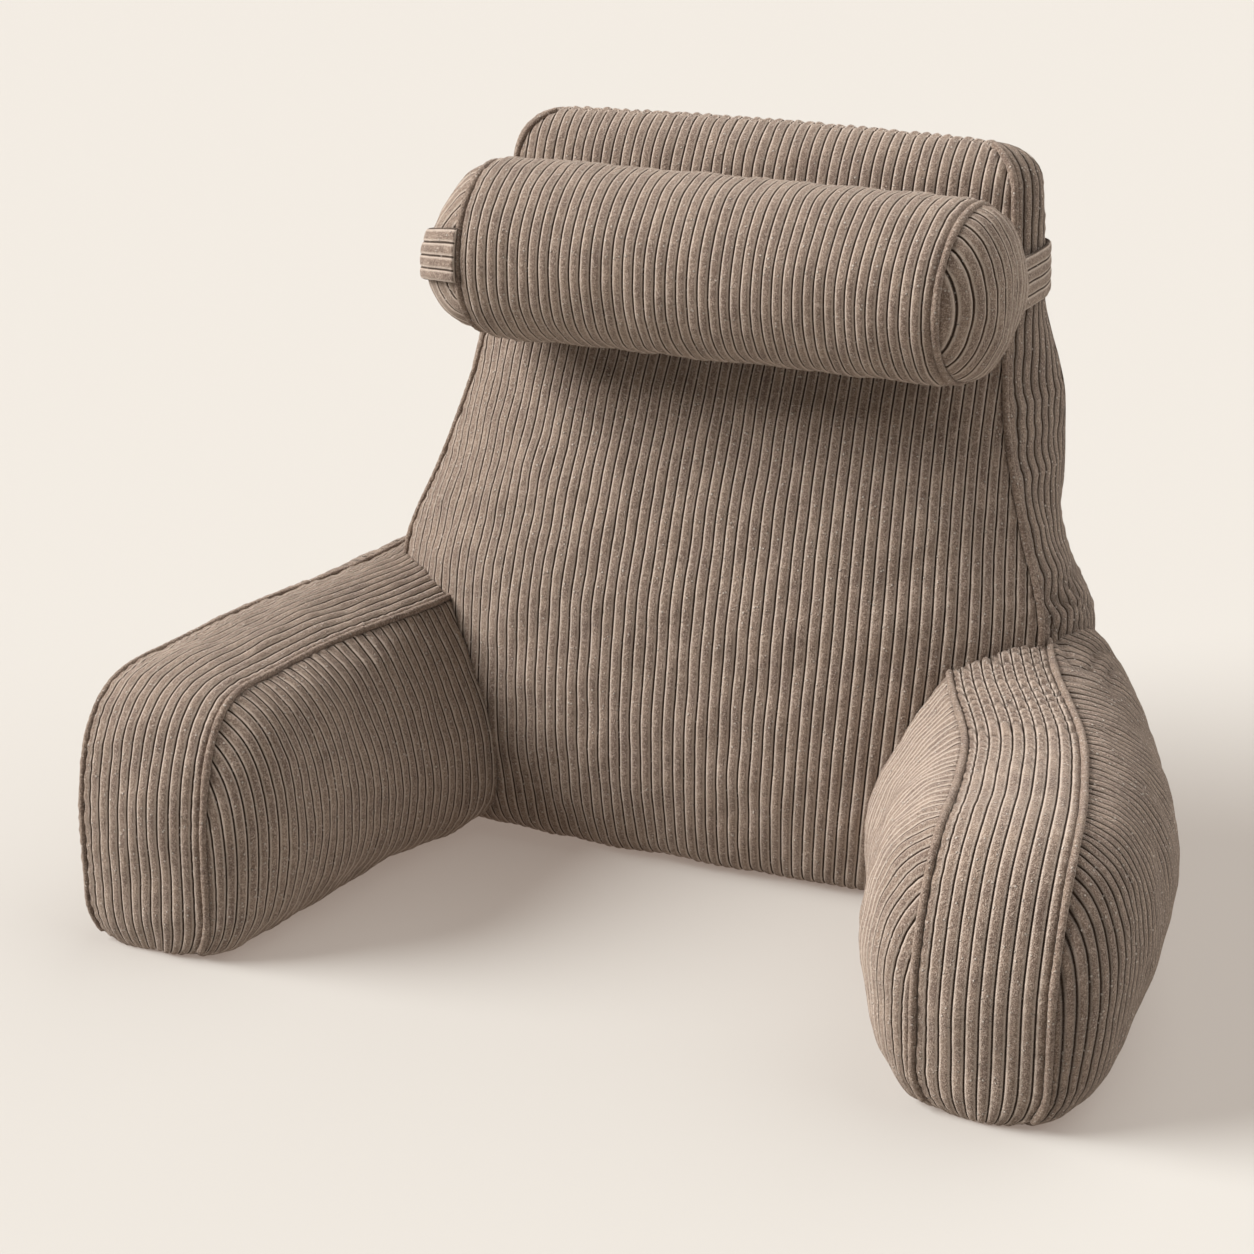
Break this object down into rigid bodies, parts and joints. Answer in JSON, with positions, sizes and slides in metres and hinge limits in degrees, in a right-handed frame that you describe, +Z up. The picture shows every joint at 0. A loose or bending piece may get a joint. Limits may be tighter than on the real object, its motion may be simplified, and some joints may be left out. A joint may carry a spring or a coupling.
{
  "type": "backrest pillow",
  "caption": "Filled corduroy backrest pillow with splayed stuffed arms, corded seams, and a neck bolster held by a strap round the back.",
  "frame": {"origin": "on the floor under the middle of the whole pillow", "axes": "+Z up, +X to the right of someone looking at the front, the front and the arms face -Y"},
  "size_m": [0.8522, 0.5241, 0.584],
  "materials": {
    "corduroy": "soft wide-wale corduroy in warm taupe, brushed pile",
    "strap_corduroy": "the same corduroy as a flat strap, its wales along its length",
    "welt_corduroy": "the same corduroy rolled over a filler cord"
  },
  "bodies": {
    "root": {"backrest": "corduroy", "arm_left": "corduroy", "arm_right": "corduroy", "bolster": "corduroy", "strap": "strap_corduroy", "welt_back_left": "welt_corduroy", "welt_back_right": "welt_corduroy", "welt_arm_left_inner": "welt_corduroy", "welt_arm_left_outer": "welt_corduroy", "welt_arm_right_inner": "welt_corduroy", "welt_arm_right_outer": "welt_corduroy", "welt_bolster_left": "welt_corduroy", "welt_bolster_right": "welt_corduroy"}
  },
  "joints": []
}
